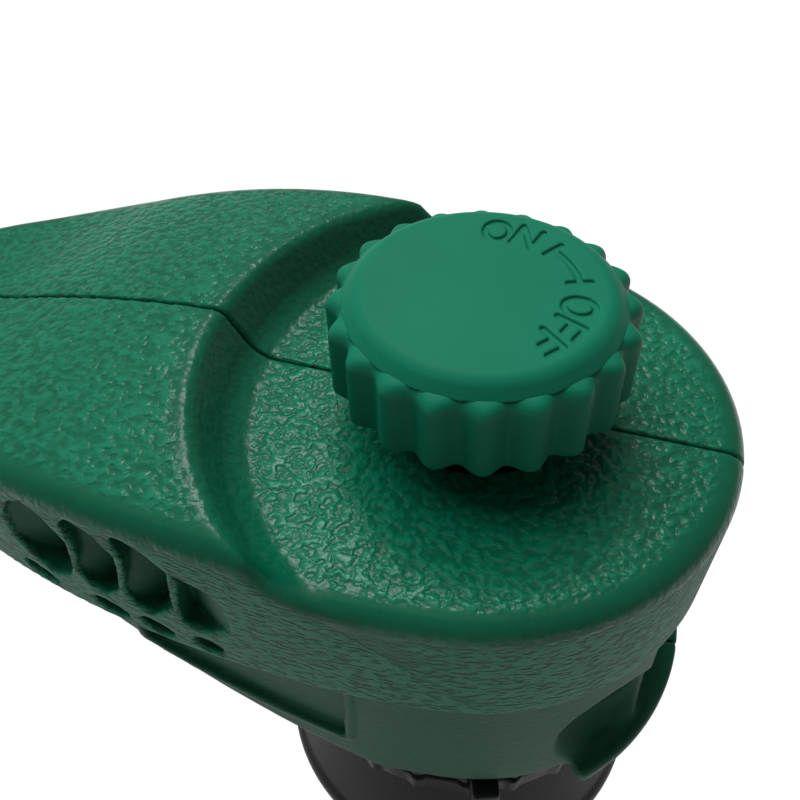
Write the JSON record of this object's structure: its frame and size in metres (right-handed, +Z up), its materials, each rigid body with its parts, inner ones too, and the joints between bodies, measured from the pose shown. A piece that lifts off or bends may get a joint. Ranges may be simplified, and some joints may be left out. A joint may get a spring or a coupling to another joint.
{
  "type": "oscillating sprinkler",
  "caption": "Gear-driven oscillating garden sprinkler: a swinging moulded head with a fluted flow knob, on a riser with arc rings, a hose swivel and a ground spike.",
  "frame": {"origin": "on the swivel axis at ground level, in the plane of the step plate's underside; the spike goes down into the ground below it", "axes": "+Z up along the swivel axis, -X the way the nozzle points at rest, +Y towards the hose inlet"},
  "size_m": [0.1417, 0.103, 0.2846],
  "materials": {
    "green_shell": "leather-grained moulded plastic with a satin sheen",
    "black_plastic": "fine matte moulded plastic",
    "acetal": "smooth natural acetal",
    "grey_plastic": "smooth grey nylon",
    "seal_rubber": "black nitrile rubber",
    "steel": "bright stainless steel",
    "brass": "turned brass"
  },
  "bodies": {
    "base": {"riser_base": "black_plastic", "ground_spike": "black_plastic", "spike_pin": "steel", "fixed_gear": "acetal", "swivel_seal_upper": "seal_rubber", "swivel_seal_lower": "seal_rubber", "retaining_clip": "steel", "thrust_washer": "acetal", "inlet_washer": "seal_rubber", "inlet_screen": "steel"},
    "head": {"left_shell": "green_shell", "right_shell": "green_shell", "shell_screw_front": "steel", "shell_screw_rear_top": "steel", "shell_screw_rear_bottom": "steel", "shell_screw_keel": "steel", "valve_bonnet": "black_plastic", "spindle_seal": "seal_rubber", "gland_washer": "acetal", "valve_body": "black_plastic", "output_axle": "steel", "compound_axle": "steel", "lower_gear_plate": "grey_plastic", "gear_carrier": "grey_plastic", "turbine_housing": "black_plastic", "turbine_cover": "black_plastic", "feed_tube": "black_plastic", "nozzle_tube": "black_plastic", "nozzle": "black_plastic", "deflector_pin": "steel", "lever_seal": "seal_rubber"},
    "knob": {"control_knob": "green_shell", "knob_cap": "green_shell", "valve_spindle": "brass", "knob_screw": "steel"},
    "plug": {"valve_plug": "acetal", "valve_washer": "seal_rubber"},
    "output_gear": {"output_gear": "acetal"},
    "compound_gear": {"compound_gear": "acetal"},
    "turbine": {"turbine_wheel": "acetal", "turbine_shaft": "grey_plastic"},
    "deflector": {"spray_deflector": "black_plastic"},
    "lever": {"reversing_lever": "acetal", "flow_vane": "acetal", "trip_spring": "steel"},
    "upper_ring": {"upper_arc_ring": "black_plastic"},
    "lower_ring": {"lower_arc_ring": "black_plastic"},
    "coupling": {"coupling_nut": "black_plastic"}
  },
  "joints": [
    {"name": "head_swing", "type": "hinge", "parent": "base", "child": "head", "pos_m": [0, 0, 0.076], "axis": [0, 0, 1], "range_deg": [-95, 95]},
    {"name": "knob_turn", "type": "hinge", "parent": "head", "child": "knob", "pos_m": [0, 0, 0.121], "axis": [0, 0, 1], "range_deg": [0, 720]},
    {"name": "plug_lift", "type": "slide", "parent": "head", "child": "plug", "axis": [0, 0, 1], "range_m": [0, 0.0041]},
    {"name": "output_gear_spin", "type": "hinge", "parent": "head", "child": "output_gear", "pos_m": [-0.02286, 0.0132, 0.094], "axis": [0, 0, 1], "range_deg": [-427.5, 427.5]},
    {"name": "compound_gear_spin", "type": "hinge", "parent": "head", "child": "compound_gear", "pos_m": [-0.03885, 0.0125, 0.097], "axis": [0, 0, 1], "range_deg": [-1282.5, 1282.5]},
    {"name": "turbine_spin", "type": "hinge", "parent": "head", "child": "turbine", "pos_m": [-0.046, 0, 0.108], "axis": [0, 0, 1], "range_deg": [-3334.5, 3334.5]},
    {"name": "deflector_tilt", "type": "hinge", "parent": "head", "child": "deflector", "pos_m": [-0.093, 0, 0.1103], "axis": [0, -1, 0], "range_deg": [0, 50]},
    {"name": "lever_trip", "type": "hinge", "parent": "head", "child": "lever", "pos_m": [-0.0335, 0, 0.086], "axis": [0, 0, 1], "range_deg": [0, 24]},
    {"name": "upper_ring_turn", "type": "hinge", "parent": "base", "child": "upper_ring", "pos_m": [0, 0, 0.066], "axis": [0, 0, 1], "range_deg": [-60, 60]},
    {"name": "lower_ring_turn", "type": "hinge", "parent": "base", "child": "lower_ring", "pos_m": [0, 0, 0.062], "axis": [0, 0, 1], "range_deg": [-60, 60]},
    {"name": "coupling_turn", "type": "hinge", "parent": "base", "child": "coupling", "pos_m": [0, 0.038, 0.019], "axis": [0, 1, 0], "continuous": true}
  ],
  "couplings": [
    {"joint": "output_gear_spin", "follows": "head_swing", "ratio": 4.5},
    {"joint": "compound_gear_spin", "follows": "head_swing", "ratio": -13.5},
    {"joint": "turbine_spin", "follows": "head_swing", "ratio": 35.1},
    {"joint": "plug_lift", "follows": "knob_turn", "m_per_rad": 0.00031831}
  ]
}
